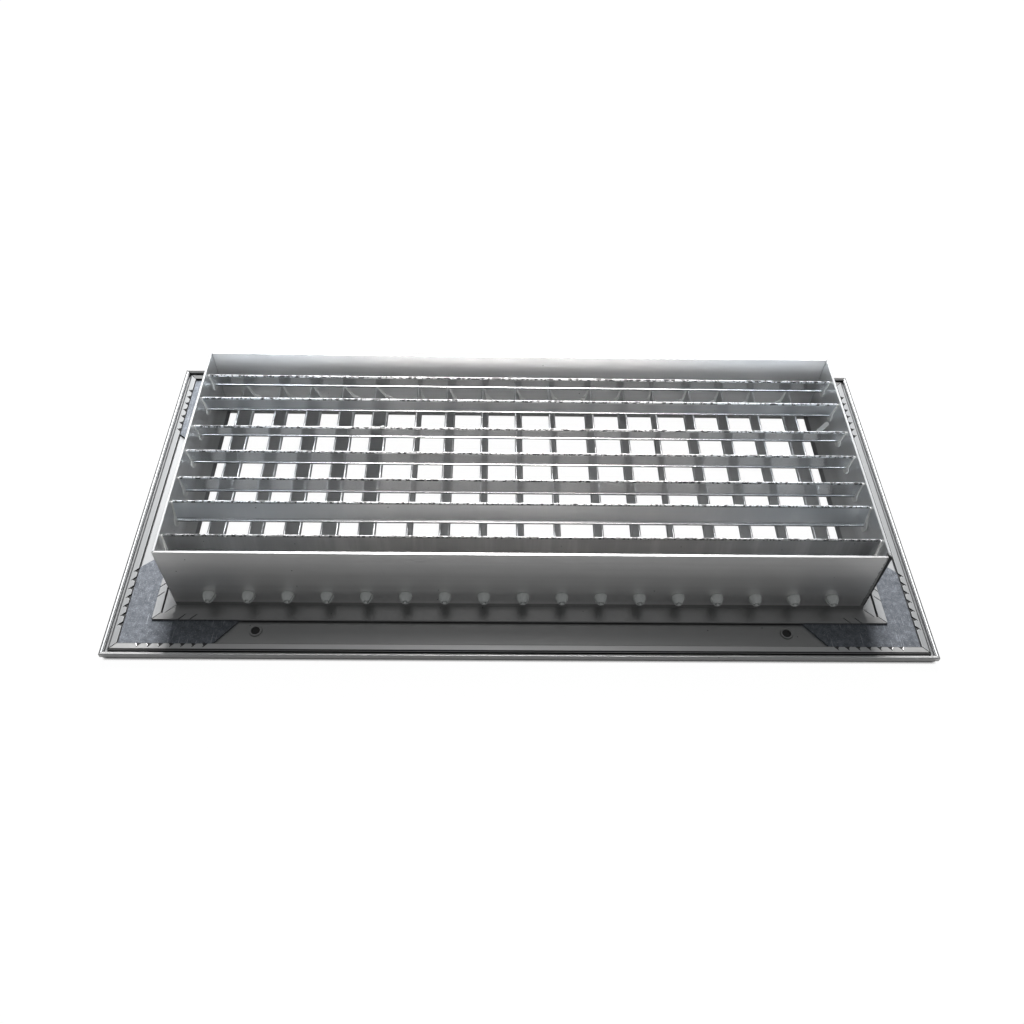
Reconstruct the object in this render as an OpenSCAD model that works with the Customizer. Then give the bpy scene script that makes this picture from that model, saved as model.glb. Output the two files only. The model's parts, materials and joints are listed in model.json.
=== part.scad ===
// Double deflection supply grille, lying face down with its duct side up.
// X runs along the long side, Y across it, and Z from the face to the neck's rim.
// The origin is at the centre of the face, on the surface that it lies on.

/* [Frame] */
// Width of the flange, along X
overall_w = 421; // [419:1:424]
// Depth of the flange, along Y
overall_d = 205; // [204:1:208]
// Height from the face to the rim of the neck
overall_h = 48.5; // [48:0.5:60]
// Width of the flange outside the neck
flange_w = 31; // [31:0.5:32]
// Thickness of the neck's wall
wall_t = 1.3; // [1.2:0.1:1.8]

/* [Flange section] */
// Thickness of the flange plate
plate_t = 1.6; // [1.2:0.1:1.8]
// Recess of the face between its two bead lines
face_recess = 1; // [0.6:0.1:1.2]
// Height of the outer rim above the face
rim_h = 5.4; // [5:0.1:6]
// Thickness of the outer rim
rim_t = 1.8; // [1.4:0.1:2]
// Fall of the rim's top from its flat land to the groove
rim_fall = 0.6; // [0.4:0.1:0.8]
// Groove between the outer rim and the outer hook
groove_w = 1.3; // [1:0.1:1.6]
// Width of the hook beside the outer rim
outer_hook_w = 4.1; // [3.8:0.1:4.4]
// Width of the hook beside the neck
inner_hook_w = 3.85; // [3.6:0.05:4.2]
// Distance from the neck's wall to the hook beside it
inner_hook_gap = 6.2; // [5.8:0.1:6.6]
// Thickness of both hooks' lips and webs
hook_t = 1; // [0.8:0.1:1.1]

/* [Corner keys] */
// Thickness of a key
key_t = 1; // [0.8:0.1:1.2]
// Length of an arm along the flange's outer side
key_arm = 51.5; // [48:0.5:54]
// Further length of an arm on the neck's side, where its end is cut on the slant
key_slant = 16; // [12:0.5:18]
// Number of stake marks along each arm's outer side
stakes = 7; // [3:1:7]
// Pitch of the stake marks
stake_pitch = 5.5; // [5.2:0.05:5.6]

/* [Blades] */
// Depth of a blade from its pivot to its thin edge
blade_chord = 12.5; // [12:0.1:12.5]
// Thickness of a blade's plate
blade_t = 1.1; // [0.9:0.1:1.2]
// Diameter of the bead along a blade's pivot edge
bead_d = 2.4; // [2.2:0.1:2.6]
// Pitch of the blades in both rows
blade_pitch = 20; // [20:0.1:20.2]
// Height of the front row's pivots above the face
front_pivot_z = 13; // [13:0.5:14]
// Height of the rear row's pivots above the face
rear_pivot_z = 34.5; // [33.5:0.5:34.5]

/* [End bushes] */
// Diameter of the bearing that turns in the neck's wall
barrel_d = 6; // [5.4:0.1:6.2]
// Radial clearance of the bearing in its hole
barrel_gap = 0.06; // [0.03:0.01:0.09]
// Thickness of the leaf between a blade's end and the wall
leaf_t = 0.8; // [0.7:0.1:1.2]
// End play between a leaf and the wall
end_play = 0.15; // [0.1:0.05:0.2]
// Length of the snap nose outside the wall, to the end of its pin
nose_len = 5; // [4.6:0.1:5.2]

/* [Screw holes] */
// Distance between the screw holes along X
screw_span_x = 272; // [264:1:272]
// Distance between the screw holes along Y
screw_span_y = 174; // [173:1:175]
// Diameter of a screw hole
screw_d = 4.6; // [4.2:0.1:4.8]

/* [Hidden] */
// How far each blade leans from straight, in degrees, from left to right and from the
// back to the front. A positive value leans the thin edge to +X, or to +Y.
front_lean = [-20, -13, -23, -28, -31, -3, -17, -12, -14, -15, 10, 8, -3, 6, 4, -2, 8];
rear_lean = [-24, -17, -23, -15, -10, 11, 4];
front_count = len(front_lean);
rear_count = len(rear_lean);

plate_z = face_recess + plate_t;
hook_gap_z = plate_z + key_t + 0.1;
hook_top_z = hook_gap_z + hook_t;
outer_hook_u = rim_t + groove_w;
inner_hook_u = flange_w - inner_hook_gap - inner_hook_w;
neck_w = overall_w - 2 * flange_w;
neck_d = overall_d - 2 * flange_w;
inner_w = neck_w - 2 * wall_t;
inner_d = neck_d - 2 * wall_t;
frame_m = flange_w + wall_t;

band_z = 2.2;
band_inset = 0.9;
edge_r = 0.6;
rim_land = 0.5;
bead_line_w = 2.6;
bead_line_slope = 0.5;
lip_slope = 0.5;

seam_w = 0.35;
seam_depth = 0.5;
stake_start = 19.2;
stake_slot_w = 0.45;
stake_slot_l = 3;
stake_tongue = 2.8;
stake_press = 0.85;
inner_stake_start = 35.8;
inner_stake_pitch = 5.9;
inner_stake_l = 5.2;

dimple_d = 8;
dimple_top_d = 6.2;
dimple_h = 0.7;
countersink_d = 8.6;

hole_r = barrel_d / 2 + barrel_gap;
leaf_r = 3.8;
leaf_arm_r = 2.4;
leaf_tip_r = 0.9;
leaf_l = 10.9;
spigot_r = 0.6;
spigot_l = 3;
spigot_gap = 0.02;
snap_r = 3.3;
nose_bore_r = 1.35;
nose_pin_r = 0.85;
nose_slit_w = 0.7;
blade_edge_w = 1.3;
corner_gap_top = 2;

round_fn = 32;
fine_fn = 24;

function two_digits(i) = i < 10 ? str("0", i) : str(i);
function front_name(i) = str("front_blade_", two_digits(i));
function rear_name(i) = str("rear_blade_", i);
function front_bush_name(i) = str("front_bushes_", two_digits(i));
function rear_bush_name(i) = str("rear_bushes_", i);
function front_x(i) = (i - (front_count + 1) / 2) * blade_pitch;
function rear_y(i) = ((rear_count + 1) / 2 - i) * blade_pitch;

// Section of the frame's extrusion. u runs from the flange's outer edge to the neck.
module frame_section() {
    outer_in = outer_hook_u + hook_t;
    outer_lip = outer_hook_u + outer_hook_w;
    inner_out = inner_hook_u + inner_hook_w;
    polygon([
        [band_inset + edge_r, 0], [band_inset, edge_r], [band_inset, band_z],
        [0, band_z + 0.4], [0, rim_h - edge_r / 2], [edge_r / 2, rim_h],
        [edge_r / 2 + rim_land, rim_h], [rim_t, rim_h - rim_fall], [rim_t, plate_z],
        [outer_hook_u, plate_z], [outer_hook_u, hook_top_z - lip_slope],
        [outer_in, hook_top_z], [outer_lip - 0.3, hook_top_z],
        [outer_lip, hook_top_z - 0.3], [outer_lip, hook_gap_z],
        [outer_in, hook_gap_z], [outer_in, plate_z],
        [inner_out - hook_t, plate_z], [inner_out - hook_t, hook_gap_z],
        [inner_hook_u, hook_gap_z], [inner_hook_u, hook_top_z - 0.2],
        [inner_hook_u + 0.2, hook_top_z], [inner_out, hook_top_z],
        [inner_out, plate_z], [flange_w, plate_z],
        [flange_w, overall_h - 0.2], [flange_w + 0.2, overall_h],
        [frame_m - 0.2, overall_h], [frame_m, overall_h - 0.2], [frame_m, 0],
        [frame_m - bead_line_w, 0],
        [frame_m - bead_line_w - bead_line_slope, face_recess],
        [band_inset + bead_line_w + bead_line_slope, face_recess],
        [band_inset + bead_line_w, 0]
    ]);
}

// One side of the frame, on -Y, mitred at both ends.
// length is its outer length and offset is the distance of its outer edge from the centre.
module frame_side(length, offset) {
    reach = frame_m + 1;
    intersection() {
        translate([-length / 2, -offset, 0])
            rotate([90, 0, 90])
                linear_extrude(length) frame_section();
        linear_extrude(overall_h + 2)
            polygon([
                [-length / 2 - 1, -offset - 1], [length / 2 + 1, -offset - 1],
                [length / 2 - reach, -offset + reach], [-length / 2 + reach, -offset + reach]
            ]);
    }
}

// Open seam above the plate at a side's right end, along its mitre.
module mitre_seam(length, offset) {
    translate([length / 2, -offset, plate_z - seam_depth])
        rotate([0, 0, 135])
            translate([outer_hook_u * sqrt(2), -seam_w / 2, 0])
                cube([(frame_m + 1 - outer_hook_u) * sqrt(2), seam_w, overall_h]);
}

// One stake mark at the free edge of a lip, which lies on +Y here, with the corner on +X.
// The slot leans to the corner, and the lip's point beside it is pressed down on the key.
module stake_mark() {
    run = (stake_slot_l - stake_slot_w) / sqrt(2);
    past = 0.3;
    fall = stake_press / stake_tongue;
    low = -stake_press - past * (fall + stake_press * (1 / run - 1 / stake_tongue));
    far = stake_tongue + past * (stake_tongue / run - 1);
    translate([0, 0, hook_gap_z - 0.1])
        rotate([0, 0, -45])
            translate([-past * sqrt(2), -stake_slot_w, 0])
                cube([stake_slot_l + past * sqrt(2), stake_slot_w, hook_t + 0.2]);
    translate([0, 0, hook_top_z])
        polyhedron(
            points = [
                [-past, past, low], [run, -run, 0], [far, past, 0],
                [-past, past, 1], [run, -run, 1], [far, past, 1]
            ],
            faces = [[0, 1, 2], [3, 5, 4], [0, 3, 4, 1], [1, 4, 5, 2], [2, 5, 3, 0]]
        );
}

// Stake marks at a side's right end, where its hooks hold the key.
module stake_marks(length, offset) {
    for (i = [0:stakes - 1])
        translate([
            length / 2 - stake_start - i * stake_pitch,
            -offset + outer_hook_u + outer_hook_w, 0
        ])
            stake_mark();
    for (i = [0:1])
        translate([
            length / 2 - inner_stake_start - i * inner_stake_pitch,
            -offset + inner_hook_u + 1.2, hook_gap_z - 0.1
        ])
            rotate([0, 0, 45])
                translate([-stake_slot_w / 2, -inner_stake_l / 2, 0])
                    cube([stake_slot_w, inner_stake_l, hook_t + 0.2]);
}

// The marks and the seam at both ends of a side.
module end_cuts(length, offset) {
    for (turn = [0, 1])
        mirror([turn, 0, 0]) {
            mitre_seam(length, offset);
            stake_marks(length, offset);
        }
}

// Row of holes through the neck's wall on -Y.
module pivot_holes(places, z, wall_y) {
    for (x = places)
        translate([x, wall_y - 1, z])
            rotate([-90, 0, 0])
                cylinder(r = hole_r, h = wall_t + 2, $fn = round_fn);
}

// Ring of metal raised round a screw hole.
module screw_dimple() {
    cylinder(d1 = dimple_d, d2 = dimple_top_d, h = plate_z + dimple_h - face_recess,
        $fn = round_fn);
}

// Screw hole with its countersink in the face.
module screw_hole() {
    sink_h = (countersink_d - screw_d) / 2;
    translate([0, 0, -1])
        cylinder(d = screw_d, h = rim_h, $fn = round_fn);
    translate([0, 0, face_recess - 0.01])
        cylinder(d1 = countersink_d, d2 = screw_d, h = sink_h * 0.7, $fn = round_fn);
}

// A long side of the frame, with the front row's pivot holes and two screw holes.
module long_side() {
    difference() {
        union() {
            frame_side(overall_w, overall_d / 2);
            for (x = [-screw_span_x / 2, screw_span_x / 2])
                translate([x, -screw_span_y / 2, face_recess])
                    screw_dimple();
        }
        for (x = [-screw_span_x / 2, screw_span_x / 2])
            translate([x, -screw_span_y / 2, 0])
                screw_hole();
        pivot_holes([for (i = [1:front_count]) front_x(i)], front_pivot_z, -neck_d / 2);
        end_cuts(overall_w, overall_d / 2);
    }
}

// A short side of the frame, with the rear row's pivot holes.
module short_side() {
    difference() {
        frame_side(overall_d, overall_w / 2);
        pivot_holes([for (i = [1:rear_count]) rear_y(i)], rear_pivot_z, -neck_w / 2);
        end_cuts(overall_d, overall_w / 2);
    }
}

// Front side. The neck's mitre stands open at its right end, most at the rim.
module frame_front() {
    color([0.36, 0.36, 0.35])
        difference() {
            long_side();
            translate([neck_w / 2, -neck_d / 2 - 1, 0])
                rotate([90, 0, 0])
                    translate([0, 0, -wall_t - 2])
                        linear_extrude(wall_t + 2)
                            polygon([
                                [1, hook_top_z], [-0.3, hook_top_z],
                                [-corner_gap_top, overall_h + 1], [1, overall_h + 1]
                            ]);
        }
}

module frame_back() {
    color([0.5, 0.5, 0.5]) rotate([0, 0, 180]) long_side();
}

module frame_left() {
    color([0.78, 0.79, 0.82]) rotate([0, 0, -90]) short_side();
}

module frame_right() {
    color([0.74, 0.75, 0.78]) rotate([0, 0, 90]) short_side();
}

// Flat L-shaped key in the channel of the front left corner, its arm ends on the slant.
module corner_key() {
    inset = outer_hook_u + hook_t + 0.1;
    reach = inner_hook_u + inner_hook_w - hook_t - 0.1;
    far = key_arm + key_slant;
    color([0.46, 0.48, 0.52])
        translate([-overall_w / 2, -overall_d / 2, plate_z])
            linear_extrude(key_t)
                polygon([
                    [inset, inset], [key_arm, inset], [far, reach],
                    [reach, reach], [reach, far], [inset, key_arm]
                ]);
}

module key_front_left() {
    corner_key();
}

module key_front_right() {
    mirror([1, 0, 0]) corner_key();
}

module key_back_left() {
    mirror([0, 1, 0]) corner_key();
}

module key_back_right() {
    rotate([0, 0, 180]) corner_key();
}

// Section of a blade: a bead on the pivot's axis and a plate rising from it to +Y.
// The bead is bored for the bushes' spigots.
module blade_section() {
    difference() {
        circle(d = bead_d, $fn = round_fn);
        circle(r = spigot_r + spigot_gap, $fn = fine_fn);
    }
    translate([-blade_t / 2, bead_d / 2 - 0.3])
        square([blade_t, blade_chord - blade_edge_w - bead_d / 2 + 0.3]);
    translate([0, blade_chord - blade_edge_w / 2])
        circle(d = blade_edge_w, $fn = fine_fn);
    translate([-blade_t / 2, blade_chord - blade_edge_w - 0.1])
        square([blade_t, blade_edge_w / 2]);
}

// Blade of the front row, along Y, seen from its left to right place i.
module front_blade(i) {
    length = inner_d - 2 * (end_play + leaf_t);
    color([0.44, 0.45, 0.46])
        translate([front_x(i), length / 2, front_pivot_z])
            rotate([90, 0, 0])
                linear_extrude(length)
                    rotate(-front_lean[i - 1]) blade_section();
}

// Blade of the rear row, along X, seen from its back to front place i.
module rear_blade(i) {
    length = inner_w - 2 * (end_play + leaf_t);
    color([0.56, 0.57, 0.59])
        translate([-length / 2, rear_y(i), rear_pivot_z])
            rotate([90, 0, 90])
                linear_extrude(length)
                    rotate(-rear_lean[i - 1]) blade_section();
}

// Paddle-shaped flange: a disc on the pivot's axis with an arm that narrows to +Y.
module leaf_outline() {
    circle(r = leaf_r, $fn = round_fn);
    translate([0, leaf_l]) circle(r = leaf_tip_r, $fn = fine_fn);
    polygon([
        [leaf_arm_r, 0], [leaf_tip_r, leaf_l], [-leaf_tip_r, leaf_l], [-leaf_arm_r, 0]
    ]);
}

// Moulded end bush. Its axis is Z, the wall's inner face is at Z = 0 and the outside is +Z.
// The leaf backs the blade's end, the spigot fills the blade's bore, and the split nose
// snaps through the wall round its pin.
module end_bush() {
    leaf_back = -end_play - leaf_t;
    nose_start = wall_t + end_play;
    nose_end = nose_start + nose_len;
    translate([0, 0, leaf_back]) linear_extrude(leaf_t) leaf_outline();
    translate([0, 0, leaf_back - spigot_l])
        cylinder(r = spigot_r, h = spigot_l + leaf_t / 2, $fn = fine_fn);
    difference() {
        rotate_extrude($fn = round_fn)
            polygon([
                [0, leaf_back + leaf_t / 2], [barrel_d / 2, leaf_back + leaf_t / 2],
                [barrel_d / 2, nose_start], [snap_r, nose_start],
                [snap_r, nose_start + 0.18 * nose_len],
                [0.92 * snap_r, nose_start + 0.42 * nose_len],
                [0.78 * snap_r, nose_start + 0.62 * nose_len],
                [0.56 * snap_r, nose_end - 0.8], [nose_bore_r, nose_end - 0.8],
                [nose_bore_r, nose_start], [nose_pin_r, nose_start],
                [nose_pin_r, nose_end - 0.3], [nose_pin_r - 0.3, nose_end], [0, nose_end]
            ]);
        for (side = [-1, 1])
            translate([side * (snap_r + 1), 0, nose_start + nose_len / 2])
                cube([2 * (snap_r + 1 - nose_pin_r - 0.1), nose_slit_w, nose_len],
                    center = true);
    }
}

// The two bushes of a front row blade, turned with it.
module front_bushes(i) {
    color([0.8, 0.82, 0.82])
        for (turn = [0, 180])
            translate([front_x(i), turn == 0 ? -inner_d / 2 : inner_d / 2, front_pivot_z])
                rotate([0, front_lean[i - 1], 0])
                    rotate([90, 0, turn]) end_bush();
}

// The two bushes of a rear row blade, turned with it.
module rear_bushes(i) {
    color([0.8, 0.82, 0.82])
        for (side = [-1, 1])
            translate([side * inner_w / 2, rear_y(i), rear_pivot_z])
                rotate([-rear_lean[i - 1], 0, 0])
                    rotate([90, 0, side * 90]) end_bush();
}

frame_front();
frame_back();
frame_left();
frame_right();
key_front_left();
key_front_right();
key_back_left();
key_back_right();
for (i = [1:front_count]) {
    front_blade(i);
    front_bushes(i);
}
for (i = [1:rear_count]) {
    rear_blade(i);
    rear_bushes(i);
}
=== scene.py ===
import json
import math
import random

import bmesh
import bpy
from mathutils import Matrix, Vector


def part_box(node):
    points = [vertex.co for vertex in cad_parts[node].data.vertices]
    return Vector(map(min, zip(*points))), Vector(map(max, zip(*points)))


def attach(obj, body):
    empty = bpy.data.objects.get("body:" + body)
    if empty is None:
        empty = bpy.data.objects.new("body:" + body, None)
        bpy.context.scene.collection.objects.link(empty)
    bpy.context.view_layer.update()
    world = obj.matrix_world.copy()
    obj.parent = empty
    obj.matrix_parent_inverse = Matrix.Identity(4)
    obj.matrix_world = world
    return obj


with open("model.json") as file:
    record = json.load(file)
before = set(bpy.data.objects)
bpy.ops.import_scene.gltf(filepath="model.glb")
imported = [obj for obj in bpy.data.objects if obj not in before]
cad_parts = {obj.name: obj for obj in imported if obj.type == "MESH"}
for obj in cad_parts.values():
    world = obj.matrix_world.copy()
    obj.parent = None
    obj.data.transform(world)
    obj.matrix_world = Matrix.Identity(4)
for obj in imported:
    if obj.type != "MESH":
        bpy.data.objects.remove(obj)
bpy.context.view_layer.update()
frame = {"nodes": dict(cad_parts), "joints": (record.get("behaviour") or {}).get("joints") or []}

MM = 0.001

# Camera and light
# The camera looks at TARGET from DISTANCE, at the photograph's viewing angle.
IMAGE_PX = 1024
SENSOR_MM = 36.0
FOCAL_PX = 914.86
ELEVATION = 51.436
YAW = -1.926
ROLL = 1.977
TARGET = Vector((-5.27, -18.13, 15.17)) * MM
DISTANCE = 501.64 * MM
CLIP_START, CLIP_END = 0.01, 20.0

# Each light's azimuth and elevation in degrees, distance, width and height in metres, and power.
LIGHTS = {
    "window_low": (0, 22, 2.0, 0.6, 0.6, 30),
    "window_middle": (0, 37, 2.0, 0.6, 0.6, 12),
    "window_high": (0, 50, 2.0, 0.6, 0.6, 38),
    "skylight": (0, 65, 2.0, 0.6, 0.6, 2),
    "zenith": (180, 84, 2.0, 0.3, 0.3, 0.8),
    "overhead": (180, 62, 2.0, 0.6, 0.6, 0.9),
}
# The room is a little brighter towards this way, from this share of facing it on.
ROOM_BRIGHT_WAY = (0.0, 0.42, 0.91)
ROOM_BRIGHT_FROM = 0.4
ROOM_LOW, ROOM_HIGH = 0.15, 0.17
ROOM_TINT = (0.93, 0.97, 1.0, 1.0)

WHITE = (1.0, 1.0, 1.0, 1.0)
BLACK = (0.0, 0.0, 0.0, 1.0)


def make_camera():
    """Puts the camera where the fit to the photograph puts it."""
    elevation, yaw, roll = (math.radians(a) for a in (ELEVATION, YAW, ROLL))
    back = Vector((
        math.sin(yaw) * math.cos(elevation),
        -math.cos(yaw) * math.cos(elevation),
        math.sin(elevation),
    ))
    right = (-back).cross(Vector((0, 0, 1))).normalized()
    up = right.cross(-back)
    rolled_right = right * math.cos(roll) + up * math.sin(roll)
    rolled_up = up * math.cos(roll) - right * math.sin(roll)
    data = bpy.data.cameras.new("camera")
    data.sensor_width = SENSOR_MM
    data.lens = FOCAL_PX / IMAGE_PX * SENSOR_MM
    data.clip_start, data.clip_end = CLIP_START, CLIP_END
    camera = bpy.data.objects.new("camera", data)
    turn = Matrix((rolled_right, rolled_up, back)).transposed()
    camera.matrix_world = Matrix.Translation(TARGET + back * DISTANCE) @ turn.to_4x4()
    bpy.context.collection.objects.link(camera)
    bpy.context.scene.camera = camera


def area_light(name, azimuth, elevation, distance, width, height, power):
    """A soft rectangle of light that faces the object. Azimuth 0 is behind it, on +Y."""
    a, e = math.radians(azimuth), math.radians(elevation)
    way = Vector((math.sin(a) * math.cos(e), math.cos(a) * math.cos(e), math.sin(e)))
    data = bpy.data.lights.new(name, "AREA")
    data.shape = "RECTANGLE"
    data.size, data.size_y = width, height
    data.energy = power
    lamp = bpy.data.objects.new(name, data)
    lamp.location = way * distance
    lamp.rotation_mode = "QUATERNION"
    lamp.rotation_quaternion = way.to_track_quat("Z", "Y")
    bpy.context.collection.objects.link(lamp)


def make_light():
    """A window behind the object, a skylight above it, and a dim room all round."""
    for name, values in LIGHTS.items():
        area_light(name, *values)
    world = bpy.data.worlds.new("room")
    bpy.context.scene.world = world
    world.use_nodes = True
    tree = world.node_tree
    tree.nodes.clear()
    out = tree.nodes.new("ShaderNodeOutputWorld")
    way = tree.nodes.new("ShaderNodeTexCoord")
    towards = tree.nodes.new("ShaderNodeVectorMath")
    height = tree.nodes.new("ShaderNodeMapRange")
    room = tree.nodes.new("ShaderNodeBackground")
    white = tree.nodes.new("ShaderNodeBackground")
    mix = tree.nodes.new("ShaderNodeMixShader")
    ray = tree.nodes.new("ShaderNodeLightPath")
    seen = tree.nodes.new("ShaderNodeMath")
    seen.operation = "MAXIMUM"
    towards.operation = "DOT_PRODUCT"
    towards.inputs[1].default_value = ROOM_BRIGHT_WAY
    tree.links.new(way.outputs["Generated"], towards.inputs[0])
    tree.links.new(towards.outputs["Value"], height.inputs["Value"])
    height.interpolation_type = "SMOOTHSTEP"
    height.inputs["From Min"].default_value = ROOM_BRIGHT_FROM
    height.inputs["To Min"].default_value = ROOM_LOW
    height.inputs["To Max"].default_value = ROOM_HIGH
    room.inputs["Color"].default_value = ROOM_TINT
    tree.links.new(height.outputs[0], room.inputs["Strength"])
    white.inputs["Color"].default_value = WHITE
    tree.links.new(ray.outputs["Is Camera Ray"], seen.inputs[0])
    tree.links.new(ray.outputs["Is Transmission Ray"], seen.inputs[1])
    tree.links.new(seen.outputs[0], mix.inputs["Fac"])
    tree.links.new(room.outputs[0], mix.inputs[1])
    tree.links.new(white.outputs[0], mix.inputs[2])
    tree.links.new(mix.outputs[0], out.inputs["Surface"])


# Materials
# Bands of the flange, by the distance from its outer edge, and the height of its hooks.
FLANGE_HALF_X, FLANGE_HALF_Y = 210.5 * MM, 102.5 * MM
FLANGE_WIDTH = 31.0 * MM
OPENING_HALF_X, OPENING_HALF_Y = 179.5 * MM, 71.5 * MM
RIM_GROOVE = (1.75 * MM, 3.15 * MM)
OUTER_HOOK = (3.3 * MM, 7.7 * MM)
HOOK_FACE = (3.8 * MM, 6.7 * MM)
RIM_EDGE = (-1.0 * MM, 0.7 * MM)
RIM_LINES = ((0.76 * MM, 1.04 * MM), (1.35 * MM, 1.72 * MM))
RIM = (-1.0 * MM, 1.8 * MM)
RIM_TONE = 0.82
HOOK_FOOT = (24.6 * MM, 25.0 * MM)
HOOK_TOP = 4.7 * MM
# How bright the outer hooks are beside the neck's walls, on the long and the short sides.
HOOK_TONES = (0.72, 0.44)
# The mitres lie where a point is as far from the long sides as from the short ones.
MITRE_SHIFT = FLANGE_HALF_X - FLANGE_HALF_Y
# The flange's faces below this height get painted shade against the neck's walls, and on the short
# sides a rougher finish.
FLANGE_TOP = 5.8 * MM
FLANGE_TONES = (0.48, 0.57)
# The neck's front right mitre: how ragged it is, and each layer's outer edge, inner edge and depth.
SEAM_RAGGED = 2.4 * MM
SEAM_LAYERS = ((2.5 * MM, 2.2 * MM, 0.6), (1.0 * MM, 0.7 * MM, 0.9))
# The neck's short walls get painted shade between these heights.
DEEP_FROM, DEEP_TO = 30 * MM, 18 * MM
DIE_LINE_STRETCH = 0.012
# The share of painted shade and of added roughness outside the neck's back wall.
PAINTED_SHADE_AND_ROUGHNESS_BEHIND = 0.45
# The size of the rear blades, and the distances from the pivot at which their lines of painted
# shade lie.
BLADE_CHORD = 12.5 * MM
BLADE_PITCH = 20 * MM
BEAD_REACH = (1.6 * MM, 1.4 * MM)
BEAD_LINE = (1.4 * MM, 1.75 * MM)
EDGE_REACH = (11.7 * MM, 12.0 * MM)
EDGE_LINE = (11.4 * MM, 11.8 * MM)
# A painted tint of the light on the rear blades: warm in the middle, cool towards the ends.
WARM_MIDDLE, COOL_ENDS = (1.0, 0.965, 0.94, 1.0), (0.97, 0.985, 1.0, 1.0)
COAT = 0.7
FLECK = (0.6, 0.62, 0.66, 1.0)
# The shares of the pale floor that the camera and that mirrors see.
FLOOR_SEEN = 0.95
FLOOR_IN_MIRRORS = 0.105
FLOOR_HALF_SIZE = 6
FLOOR_DROP = 0.2 * MM
CONTACT_SHADOW = 1.5 * MM
UNDER_FLANGE = 0.99


class Nodes:
    """A small helper that adds and links a material's nodes."""

    def __init__(self, name):
        self.material = bpy.data.materials.new(name)
        self.material.use_nodes = True
        self.tree = self.material.node_tree
        self.tree.nodes.clear()
        self.out = self.add("ShaderNodeOutputMaterial")

    def add(self, kind, inputs=None, **settings):
        node = self.tree.nodes.new(kind)
        for key, value in settings.items():
            setattr(node, key, value)
        for key, value in (inputs or {}).items():
            if isinstance(value, bpy.types.NodeSocket):
                self.tree.links.new(value, node.inputs[key])
            else:
                node.inputs[key].default_value = value
        return node

    def place(self, scale):
        """Object coordinates, in metres, times a scale for each axis."""
        coords = self.add("ShaderNodeTexCoord")
        inputs = {"Vector": coords.outputs["Object"], "Scale": scale}
        return self.add("ShaderNodeMapping", inputs).outputs["Vector"]

    def noise(self, where, scale, detail, roughness):
        node = self.add("ShaderNodeTexNoise", {
            "Vector": where, "Scale": scale, "Detail": detail, "Roughness": roughness,
        })
        return node.outputs["Fac"]

    def ramp(self, value, *stops):
        node = self.add("ShaderNodeValToRGB", {"Fac": value})
        elements = node.color_ramp.elements
        while len(elements) < len(stops):
            elements.new(0.5)
        for element, (place, colour) in zip(elements, stops):
            element.position = place
            element.color = (*colour, 1.0)
        return node.outputs["Color"]

    def to_range(self, value, low, high):
        node = self.add("ShaderNodeMapRange", {"Value": value, "To Min": low, "To Max": high})
        return node.outputs["Result"]

    def mix(self, factor, a, b):
        """A blend of two colours. A Mix node's colours are its inputs 6 and 7 and its output 2."""
        return self.add("ShaderNodeMix", {0: factor, 6: a, 7: b}, data_type="RGBA").outputs[2]

    def math(self, operation, a, b=0.0):
        return self.add("ShaderNodeMath", {0: a, 1: b}, operation=operation).outputs[0]

    def step(self, value, low, high):
        """A smooth step from 0 at low to 1 at high."""
        node = self.add("ShaderNodeMapRange", {
            "Value": value, "From Min": low, "From Max": high,
        }, interpolation_type="SMOOTHSTEP")
        return node.outputs["Result"]

    def between(self, value, low, high, soft):
        """1 between low and high, and 0 outside them."""
        rise = self.step(value, low - soft, low + soft)
        fall = self.step(value, high - soft, high + soft)
        return self.math("SUBTRACT", rise, fall)

    def bump(self, height, strength, distance):
        inputs = {"Height": height, "Strength": strength, "Distance": distance}
        return self.add("ShaderNodeBump", inputs).outputs["Normal"]

    def object_axes(self):
        """The X, Y and Z of the object coordinates, in metres."""
        coords = self.add("ShaderNodeTexCoord")
        parts = self.add("ShaderNodeSeparateXYZ", {"Vector": coords.outputs["Object"]})
        return [parts.outputs[axis] for axis in "XYZ"]

    def deepest(self, shades):
        """The largest of several masks, each times its depth."""
        marks_and_painted_shade = 0.0
        for where, depth in shades:
            marks_and_painted_shade = self.math("MAXIMUM", marks_and_painted_shade, self.math("MULTIPLY", where, depth))
        return marks_and_painted_shade

    def inside(self, x, y, half_x, half_y):
        """1 inside a rectangle round the origin, and 0 outside it."""
        return self.math(
            "MULTIPLY",
            self.math("LESS_THAN", self.math("ABSOLUTE", x), half_x),
            self.math("LESS_THAN", self.math("ABSOLUTE", y), half_y),
        )

    def finish(self, shader):
        self.tree.links.new(shader, self.out.inputs["Surface"])
        return self.material


def grey(level, blue=0.0):
    """A linear grey, a little blue where blue is above 0 and warm below."""
    return (level * (1 - blue), level, level * (1 + blue), 1.0)


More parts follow.
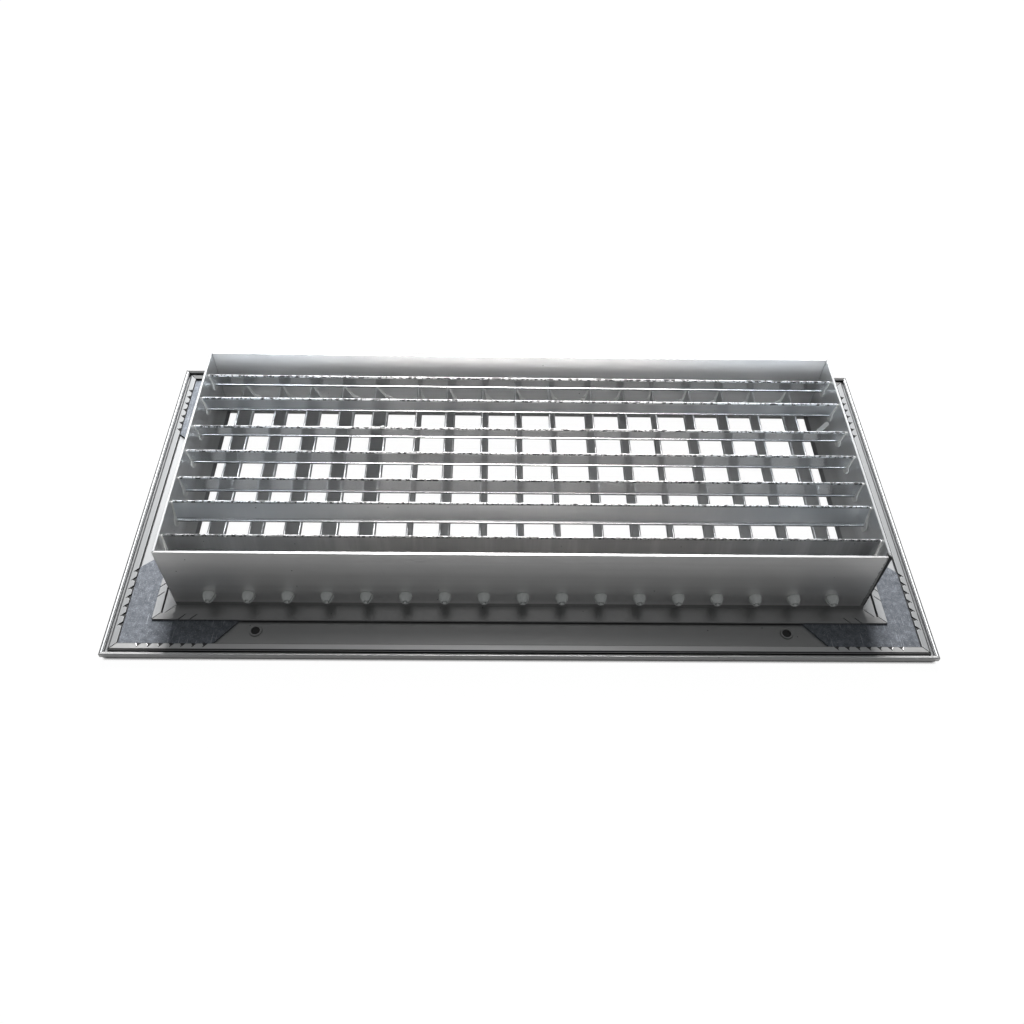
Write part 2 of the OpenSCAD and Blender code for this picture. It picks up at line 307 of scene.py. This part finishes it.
def flange_bands(n, along, tone, rough, speck):
    """Darker hooks, painted shade in the grooves, at the hooks' feet, along the rim and under the
    outer hooks' tops, and dark mitres, by the place on the frame's section.
    """
    half = (FLANGE_HALF_Y, FLANGE_HALF_X)[along]
    x, y, height = n.object_axes()
    far_x, far_y = n.math("ABSOLUTE", x), n.math("ABSOLUTE", y)
    inset = n.math("SUBTRACT", half, (far_y, far_x)[along])
    low = n.step(height, FLANGE_TOP, FLANGE_TOP - 0.3 * MM)
    below = n.step(height, HOOK_TOP - 0.1 * MM, HOOK_TOP - 0.8 * MM)
    hook_recess_shade = n.math(
        "MULTIPLY", n.between(inset, *OUTER_HOOK, 0.05 * MM),
        n.between(height, 2.8 * MM, HOOK_TOP - 0.06 * MM, 0.04 * MM),
    )
    # Painted shade: in the rim's groove, at the inner hook's foot, along the rim's outer edge and
    # its lines, and on the outer hook's faces below its top.
    shades = [
        (n.math("MULTIPLY", n.between(inset, *RIM_GROOVE, 0.03 * MM), below), (0.8, 0.3)[along]),
        (n.math("MULTIPLY", n.between(inset, *HOOK_FOOT, 0.05 * MM), below), 0.85),
        (n.math("MULTIPLY", n.between(inset, *RIM_EDGE, 0.06 * MM), low), (0.0, 0.97)[along]),
        (
            n.math("MULTIPLY", n.between(inset, *RIM_LINES[along], 0.06 * MM), low),
            (0.2, 0.9)[along],
        ),
        (hook_recess_shade, 0.7),
    ]
    # A mitre is a fine dark line, and at the neck's front right corner a wide ragged one.
    off = n.math("ABSOLUTE", n.math("SUBTRACT", n.math("SUBTRACT", far_x, far_y), MITRE_SHIFT))
    off = n.math("SUBTRACT", off, n.math("MULTIPLY", speck, 0.3 * MM))
    shades.append((n.step(off, 0.15 * MM, 0.0), 0.6))
    corner = n.math("MULTIPLY", n.math("GREATER_THAN", x, 0.0), n.math("LESS_THAN", y, 0.0))
    corner = n.math("MULTIPLY", corner, n.math("GREATER_THAN", height, FLANGE_TOP))
    ragged = n.math("ADD", off, n.math("MULTIPLY", n.math("SUBTRACT", speck, 0.5), SEAM_RAGGED))
    for outer, inner, depth in SEAM_LAYERS:
        shades.append((n.math("MULTIPLY", corner, n.step(ragged, outer, inner)), depth))
    marks_and_painted_shade = n.deepest(shades)
    # Painted shade on the flange's faces below FLANGE_TOP; the outer hooks and the rim take their
    # own tones.
    face = n.between(inset, *HOOK_FACE, 0.1 * MM)
    rim = n.between(inset, *RIM, 0.05 * MM)
    flat = FLANGE_TONES[along]
    loss = n.math("ADD", 1 - flat, n.math("MULTIPLY", face, flat - HOOK_TONES[along]))
    loss = n.math("ADD", loss, n.math("MULTIPLY", rim, flat - RIM_TONE))
    tone = n.mix(n.math("MULTIPLY", low, loss), tone, BLACK)
    # The neck's short walls get painted shade deep inside, beside the front row.
    in_neck = n.math("GREATER_THAN", inset, FLANGE_WIDTH + 1.0 * MM)
    deep = n.math("MULTIPLY", n.step(height, DEEP_FROM, DEEP_TO), in_neck)
    tone = n.mix(n.math("MULTIPLY", deep, (0.0, 0.4)[along]), tone, BLACK)
    # The dark mitres and the painted shade darken the tone.
    tone = n.mix(marks_and_painted_shade, tone, grey(0.08))
    rough = n.math("ADD", rough, n.math("MULTIPLY", marks_and_painted_shade, 0.3))
    rough = n.math("ADD", rough, n.math("MULTIPLY", low, (0.0, 0.18)[along]))
    return tone, n.math("MINIMUM", n.math("ADD", rough, n.math("MULTIPLY", hook_recess_shade, 0.5)), 1.0)


def extruded_metal(
    name, along, level, blue, roughness, streaks=0.5, flange=False, painted_streaks_and_lines=False, back=False,
):
    """Mill-finish aluminium with die lines that run along one axis, 0 for X, 1 for Y."""
    n = Nodes(name)
    across = [1.0, 1.0, 1.0]
    across[along] = DIE_LINE_STRETCH
    lines = n.noise(n.place(across), 1500, 3.0, 0.6)
    bands = n.noise(n.place(across), 260, 2.0, 0.5)
    cloud = n.noise(n.place((1, 1, 1)), 34, 5.0, 0.6)
    speck = n.noise(n.place((1, 1, 1)), 900, 2.0, 0.7)
    swing = 0.12 * streaks
    tone = n.mix(bands, grey(level * (1 - swing), blue), grey(level * (1 + swing), blue))
    tone = n.mix(n.to_range(cloud, 0.0, 0.35), tone, grey(level * 0.8, blue + 0.02))
    rough = n.to_range(speck, roughness - 0.05, roughness + 0.07)
    # On the rear blades, brighter streaks that run up the faces are a painted reflection of the
    # front row.
    if painted_streaks_and_lines:
        reflection_streak = n.noise(n.place((1.0, 0.06, 0.06)), 130, 3.0, 0.6)
        tone = n.mix(n.step(reflection_streak, 0.45, 0.75), tone, grey(min(level * 1.2, 0.97), blue))
    pits = n.add("ShaderNodeTexVoronoi", {"Vector": n.place((1, 1, 1)), "Scale": 120.0})
    pitted = n.step(pits.outputs["Distance"], 0.05, 0.03)
    tone = n.mix(n.math("MULTIPLY", pitted, 0.7), tone, grey(0.1))
    if flange:
        tone, rough = flange_bands(n, along, tone, rough, speck)
    coat = 0.0
    if back:
        tone, rough = back_outside(n, tone, rough)
    if painted_streaks_and_lines:
        tone, edge, bead = rear_blade_lines(n, tone)
        rough = n.math("ADD", rough, n.math("MULTIPLY", edge, 0.25))
        rough = n.math("SUBTRACT", rough, n.math("MULTIPLY", bead, 0.12))
        coat = n.math("SUBTRACT", COAT, n.math("MULTIPLY", edge, COAT))
    normal = n.bump(lines, 0.25 * streaks, 0.0001)
    shader = n.add("ShaderNodeBsdfPrincipled", {
        "Base Color": tone, "Metallic": 1.0, "Roughness": rough, "Normal": normal,
        "Coat Weight": coat, "Coat Roughness": 0.03, "Coat IOR": 2.0,
    })
    return n.finish(shader.outputs[0])


def rear_blade_lines(n, tone):
    """Painted shade under a rear blade's bead and in lines beside the bead and below the thin edge,
    a speckled thin edge, and a painted tint of the light.
    """
    where = n.place((1, 1, 1))
    parts = n.add("ShaderNodeSeparateXYZ", {"Vector": where})
    centre = pivot("rear_vane_1")[0]
    off_y = n.add("ShaderNodeMath", {
        0: parts.outputs["Y"], 1: BLADE_PITCH / 2, 2: -BLADE_PITCH / 2,
    }, operation="WRAP").outputs[0]
    off_z = n.math("SUBTRACT", parts.outputs["Z"], centre.z)
    arm = n.add("ShaderNodeCombineXYZ", {"Y": off_y, "Z": off_z}).outputs[0]
    reach = n.add("ShaderNodeVectorMath", {0: arm}, operation="LENGTH").outputs["Value"]
    bead = n.step(reach, *BEAD_REACH)
    edge = n.step(reach, *EDGE_REACH)
    fine = n.step(n.noise(where, 600, 2.0, 0.6), 0.48, 0.56)
    # Painted shade under the bead and in the two lines; the thin edge is a little darker, with dark
    # specks.
    shades = (
        (n.math("MULTIPLY", bead, n.step(off_z, 0.2 * MM, 0.0)), 0.9),
        (n.between(reach, *BEAD_LINE, 0.06 * MM), 0.4),
        (n.between(reach, *EDGE_LINE, 0.08 * MM), 0.5),
        (edge, 0.1),
        (n.math("MULTIPLY", edge, fine), 0.9),
    )
    marks_and_painted_shade = n.deepest(shades)
    # The painted tint of the light, warm in the middle and cool towards the ends.
    far = n.step(n.math("ABSOLUTE", parts.outputs["X"]), 60 * MM, 150 * MM)
    tint = n.mix(far, WARM_MIDDLE, COOL_ENDS)
    tinted = n.add("ShaderNodeVectorMath", {0: tone, 1: tint}, operation="MULTIPLY")
    return n.mix(marks_and_painted_shade, tinted.outputs[0], grey(0.05)), edge, bead


def back_outside(n, tone, rough):
    """Painted shade and a rougher finish outside the neck's back wall and on the flange behind it.
    """
    y = n.object_axes()[1]
    outside = n.step(y, OPENING_HALF_Y - 0.5 * MM, OPENING_HALF_Y - 0.1 * MM)
    tone = n.mix(n.math("MULTIPLY", outside, PAINTED_SHADE_AND_ROUGHNESS_BEHIND), tone, BLACK)
    return tone, n.math("ADD", rough, n.math("MULTIPLY", outside, PAINTED_SHADE_AND_ROUGHNESS_BEHIND))


def burr_metal():
    """Torn metal along the rear blades' thin edges, with bright facets among dark ones."""
    n = Nodes("edge_burrs")
    facets = n.noise(n.place((1, 1, 1)), 700, 2.0, 0.6)
    tone = n.mix(n.step(facets, 0.44, 0.56), grey(0.1), grey(0.9))
    shader = n.add("ShaderNodeBsdfPrincipled", {
        "Base Color": tone, "Metallic": 1.0, "Roughness": 0.5,
    })
    return n.finish(shader.outputs[0])


def key_metal():
    """Mottled blue-grey plate of the corner keys, with specks and scratches."""
    n = Nodes("key_plate")
    where = n.place((1, 1, 1))
    patches = n.noise(where, 330, 8.0, 0.8)
    grain = n.noise(where, 900, 4.0, 0.7)
    specks = n.noise(where, 2600, 2.0, 0.5)
    scratches = n.noise(n.place((1.0, 0.05, 1.0)), 1400, 1.0, 0.5)
    tone = n.ramp(
        patches,
        (0.3, (0.1, 0.108, 0.122)), (0.52, (0.18, 0.193, 0.215)), (0.75, (0.33, 0.35, 0.385)),
    )
    tone = n.mix(n.math("MULTIPLY", n.step(specks, 0.62, 0.7), 0.5), tone, FLECK)
    tone = n.mix(n.math("MULTIPLY", n.step(scratches, 0.68, 0.72), 0.4), tone, FLECK)
    rough = n.to_range(grain, 0.36, 0.6)
    normal = n.bump(grain, 0.35, 0.0002)
    shader = n.add("ShaderNodeBsdfPrincipled", {
        "Base Color": tone, "Metallic": 1.0, "Roughness": rough, "Normal": normal,
    })
    return n.finish(shader.outputs[0])


def nylon():
    """Natural white nylon, slightly translucent, with painted shade where it stands outside the
    neck's front and back walls.
    """
    n = Nodes("bush_nylon")
    where = n.place((1, 1, 1))
    cloud = n.noise(where, 220, 3.0, 0.5)
    tone = n.mix(cloud, (0.86, 0.87, 0.85, 1.0), (0.96, 0.96, 0.94, 1.0))
    parts = n.add("ShaderNodeSeparateXYZ", {"Vector": where})
    # Painted shade greys the nylon beyond the neck's front and back walls.
    far = n.math("ABSOLUTE", parts.outputs["Y"])
    outside = n.math("GREATER_THAN", far, OPENING_HALF_Y)
    tone = n.mix(n.math("MULTIPLY", outside, 0.6), tone, (0.6, 0.62, 0.6, 1.0))
    shader = n.add("ShaderNodeBsdfPrincipled", {
        "Base Color": tone, "Roughness": 0.42,
        "Subsurface Weight": 0.2, "Subsurface Scale": 0.001,
        "Subsurface Radius": (1.0, 1.0, 1.0),
        "Normal": n.bump(n.noise(where, 900, 2.0, 0.5), 0.1, 0.0001),
    })
    return n.finish(shader.outputs[0])


def floor_material():
    """Pale floor that the camera sees as white, with the object's soft shadow close under it."""
    n = Nodes("pale_floor")
    ray = n.add("ShaderNodeLightPath")
    near = n.add("ShaderNodeAmbientOcclusion", {"Distance": CONTACT_SHADOW}, samples=8)
    open_sky = n.to_range(near.outputs["AO"], -0.6, 1.04)
    x, y, _ = n.object_axes()
    inside = n.inside(x, y, OPENING_HALF_X, OPENING_HALF_Y)
    open_sky = n.math("MAXIMUM", open_sky, inside)
    hidden = n.inside(x, y, FLANGE_HALF_X - 3 * MM, FLANGE_HALF_Y - 3 * MM)
    hidden = n.math("MULTIPLY", hidden, n.math("SUBTRACT", 1.0, inside))
    shade = n.math("SUBTRACT", 1.0, n.math("MULTIPLY", hidden, UNDER_FLANGE))
    open_sky = n.math("MULTIPLY", open_sky, shade)
    share = 0.0
    for kind, part in (
        ("Is Camera Ray", FLOOR_SEEN), ("Is Transmission Ray", FLOOR_SEEN),
        ("Is Glossy Ray", FLOOR_IN_MIRRORS),
    ):
        share = n.math("MAXIMUM", share, n.math("MULTIPLY", ray.outputs[kind], part))
    grain = n.noise(n.place((1, 1, 1)), 3, 2.0, 0.5)
    cover = n.add("ShaderNodeBsdfDiffuse", {"Color": n.mix(grain, grey(0.38), grey(0.42))})
    white = n.add("ShaderNodeEmission", {"Color": WHITE, "Strength": open_sky})
    mix = n.add("ShaderNodeMixShader", {0: share, 1: cover.outputs[0], 2: white.outputs[0]})
    return n.finish(mix.outputs[0])


def set_material(node, material):
    """Gives a CAD node's object one material, in place of those that it came with."""
    slots = frame["nodes"][node].data.materials
    slots.clear()
    slots.append(material)


# The object
FRONT_COUNT, REAR_COUNT = 17, 7


def front_places():
    return [f"{i:02d}" for i in range(1, FRONT_COUNT + 1)]


def rear_places():
    return [str(i) for i in range(1, REAR_COUNT + 1)]


def dress_nodes():
    """Gives every CAD node its material."""
    front_side = extruded_metal("frame_front_side", 0, 0.86, -0.01, 0.40, 0.8, flange=True)
    back_side = extruded_metal(
        "frame_back_side", 0, 0.96, -0.005, 0.42, 0.8, flange=True, back=True,
    )
    short_metal = extruded_metal("frame_short", 1, 0.78, 0.01, 0.38, 0.8, flange=True)
    set_material("frame_front", front_side)
    set_material("frame_back", back_side)
    for side in ("left", "right"):
        set_material(f"frame_{side}", short_metal)
    plate = key_metal()
    for corner in ("front_left", "front_right", "back_left", "back_right"):
        set_material(f"key_{corner}", plate)
    front_metal = extruded_metal("front_blades", 1, 0.58, 0.01, 0.42)
    rear_metal = extruded_metal("rear_blades", 0, 0.92, 0.02, 0.22, painted_streaks_and_lines=True)
    # A painted-lit copy of the rear blades' metal for blades 2 and 6, and a painted-shade copy for
    # blade 7.
    painted_lit_rear_metal = extruded_metal("rear_blades_painted_lit", 0, 0.97, 0.03, 0.34, painted_streaks_and_lines=True)
    painted_shade_rear_metal = extruded_metal("rear_blades_painted_shade", 0, 0.5, 0.01, 0.34, painted_streaks_and_lines=True)
    white = nylon()
    burr = burr_metal()
    for place in front_places():
        set_material(f"front_blade_{place}", front_metal)
        set_material(f"front_bushes_{place}", white)
    for place in rear_places():
        metal = painted_shade_rear_metal if place == "7" else (rear_metal, painted_lit_rear_metal)[place in "26"]
        set_material(f"rear_blade_{place}", metal)
        set_material(f"rear_bushes_{place}", white)
        edge_burr(place, burr)
    edge_curls(extruded_metal("swarf", 0, 0.95, 0.0, 0.45, 0.2))
    make_nylon_pieces(white)


# Extra pieces on the blades and bushes
BURR_STEP = 0.9 * MM
BURR_WIDTH = 0.5 * MM
# The height of the burr that the saw and the die left on each rear blade's thin edge.
BURR_HEIGHTS = {"1": 0.08, "2": 0.07, "3": 0.1, "4": 0.22, "5": 0.2, "6": 0.26, "7": 0.34}
CURL_STEPS = 14
# Curls of swarf on the thin edges: rear blade, place along X in mm, radius in mm, turns.
CURLS = (("7", -145.8, 1.4, 0.45), ("7", -126.8, 1.3, 0.5), ("6", -112.5, 0.6, 0.5))
BAR_STEPS, BAR_SIDES = 24, 16
# How square a bar's section is, 1 for round, and the least share of its width at its ends.
BAR_SQUARENESS = 0.6
BAR_END = 0.03


def pivot(vane):
    """The place of a vane's pivot and how far it leans from straight, in radians."""
    for joint in frame["joints"]:
        if joint["child"] == vane:
            low, high = joint["range_deg"]
            return Vector(joint["pos_m"]), math.radians(-(low + high) / 2)
    raise ValueError(vane)


def on_rear_blade(place, x, along, across=0.0):
    """A point of a rear blade: along its plate from the pivot, and across it to the back."""
    centre, lean = pivot(f"rear_vane_{place}")
    return Vector((
        x,
        centre.y + along * math.sin(lean) + across * math.cos(lean),
        centre.z + along * math.cos(lean) - across * math.sin(lean),
    ))


def add_piece(name, build, body, material, smooth=True):
    """Makes an object of a bmesh, which rides on a body and takes its finish from a slot."""
    mesh = bpy.data.meshes.new(name)
    bmesh.ops.recalc_face_normals(build, faces=build.faces)
    for face in build.faces:
        face.smooth = smooth
    build.to_mesh(mesh)
    build.free()
    piece = bpy.data.objects.new(name, mesh)
    mesh.materials.append(material)
    bpy.context.collection.objects.link(piece)
    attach(piece, body)


def skin(build, rings):
    """Faces between rings of points, capped at both ends."""
    rows = [[build.verts.new(point) for point in ring] for ring in rings]
    count = len(rows[0])
    for one, two in zip(rows, rows[1:]):
        for i in range(count):
            j = (i + 1) % count
            build.faces.new((one[i], one[j], two[j], two[i]))
    build.faces.new(rows[0][::-1])
    build.faces.new(rows[-1])


def edge_burr(place, material):
    """A fine ragged lip along the thin edge of a rear blade."""
    draw = random.Random(40 + int(place))
    low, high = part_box(f"rear_blade_{place}")
    height = BURR_HEIGHTS[place] * MM
    steps = round((high.x - low.x) / BURR_STEP)
    build = bmesh.new()
    rings, level = [], 0.3
    for i in range(steps + 1):
        x = low.x + (high.x - low.x) * i / steps
        level = 0.55 * level + 0.45 * draw.random() ** 2
        top = BLADE_CHORD + height * level - 0.05 * MM
        shift = draw.uniform(-0.14, 0.14) * MM
        half = BURR_WIDTH / 2
        rings.append([
            on_rear_blade(place, x, BLADE_CHORD - 0.3 * MM, -half),
            on_rear_blade(place, x, top, shift - 0.08 * MM),
            on_rear_blade(place, x, top, shift + 0.08 * MM),
            on_rear_blade(place, x, BLADE_CHORD - 0.3 * MM, half),
        ])
    skin(build, rings)
    add_piece(
        f"rear_blade_{place}_burr", build, f"rear_vane_{place}", material,
        smooth=False,
    )


def edge_curls(material):
    """Curls of swarf that hang on the rear blades' thin edges."""
    for number, (place, x, radius, turns) in enumerate(CURLS, 1):
        draw = random.Random(70 + number)
        build = bmesh.new()
        heading = draw.uniform(-0.6, 0.6)
        rings = []
        for i in range(CURL_STEPS + 1):
            s = i / CURL_STEPS
            angle = turns * math.tau * s
            r = radius * MM * (1 - 0.35 * s)
            side = 0.85 * MM * (1 - 0.4 * s)
            sideways = 0.5 * r * math.sin(angle) * math.cos(heading) + 0.6 * MM * s
            drop = r * (1 - math.cos(angle)) * 0.5 - 0.3 * MM
            lift = 0.6 * MM + 0.6 * MM * s + 0.5 * abs(r * math.sin(angle) * math.sin(heading))
            middle = on_rear_blade(place, x * MM - sideways, BLADE_CHORD - drop, -lift)
            way = Vector((math.cos(heading), math.sin(heading), 0.25)).normalized()
            thick = Vector((0.05, 0.0, 0.06)) * MM
            rings.append([
                middle - way * side / 2, middle + way * side / 2,
                middle + way * side / 2 + thick, middle - way * side / 2 + thick,
            ])
        skin(build, rings)
        add_piece(
            f"swarf_curl_{number}", build, f"rear_vane_{place}", material,
        )


def nylon_bar(name, start, end, width, thickness, body, material):
    """A flat bar of nylon with rounded ends, from start to end."""
    build = bmesh.new()
    way = (end - start).normalized()
    flat = way.cross(Vector((0, 1, 0.35))).normalized()
    side = way.cross(flat).normalized()
    length = (end - start).length
    rings = []
    for i in range(BAR_STEPS + 1):
        s = i / BAR_STEPS
        inset = min(s, 1 - s) * length
        round_off = min(1.0, inset / (width / 2))
        half = width / 2 * math.sqrt(max(1 - (1 - round_off) ** 2, BAR_END))
        ring = []
        for k in range(BAR_SIDES):
            a = math.tau * k / BAR_SIDES
            c, d = math.cos(a), math.sin(a)
            ring.append(start + way * length * s
                        + side * half * math.copysign(abs(c) ** BAR_SQUARENESS, c)
                        + flat * thickness / 2 * math.copysign(abs(d) ** BAR_SQUARENESS, d))
        rings.append(ring)
    skin(build, rings)
    add_piece(name, build, body, material)


def make_nylon_pieces(material):
    """The loose end of a bush's moulding on rear blade 2, and a nub on rear blade 3's edge."""
    nylon_bar(
        "bush_tail", Vector((176.4, 35.6, 32.6)) * MM, Vector((170.6, 32.6, 27.2)) * MM,
        2.7 * MM, 0.9 * MM, "rear_vane_2", material,
    )
    top = on_rear_blade("3", -75.9 * MM, BLADE_CHORD)
    nylon_bar(
        "edge_nub", top + Vector((-1.1, 0, 0.3)) * MM, top + Vector((1.1, 0, 0.5)) * MM,
        1.7 * MM, 1.5 * MM, "rear_vane_3", material,
    )


def make_floor():
    """The floor that the grille lies on, face down."""
    mesh = bpy.data.meshes.new("floor")
    build = bmesh.new()
    bmesh.ops.create_grid(build, x_segments=1, y_segments=1, size=FLOOR_HALF_SIZE)
    build.to_mesh(mesh)
    build.free()
    floor = bpy.data.objects.new("floor", mesh)
    floor.location.z = -FLOOR_DROP
    mesh.materials.append(floor_material())
    bpy.context.collection.objects.link(floor)


make_camera()
make_light()
make_floor()
dress_nodes()

bpy.context.scene.view_settings.view_transform = "Standard"
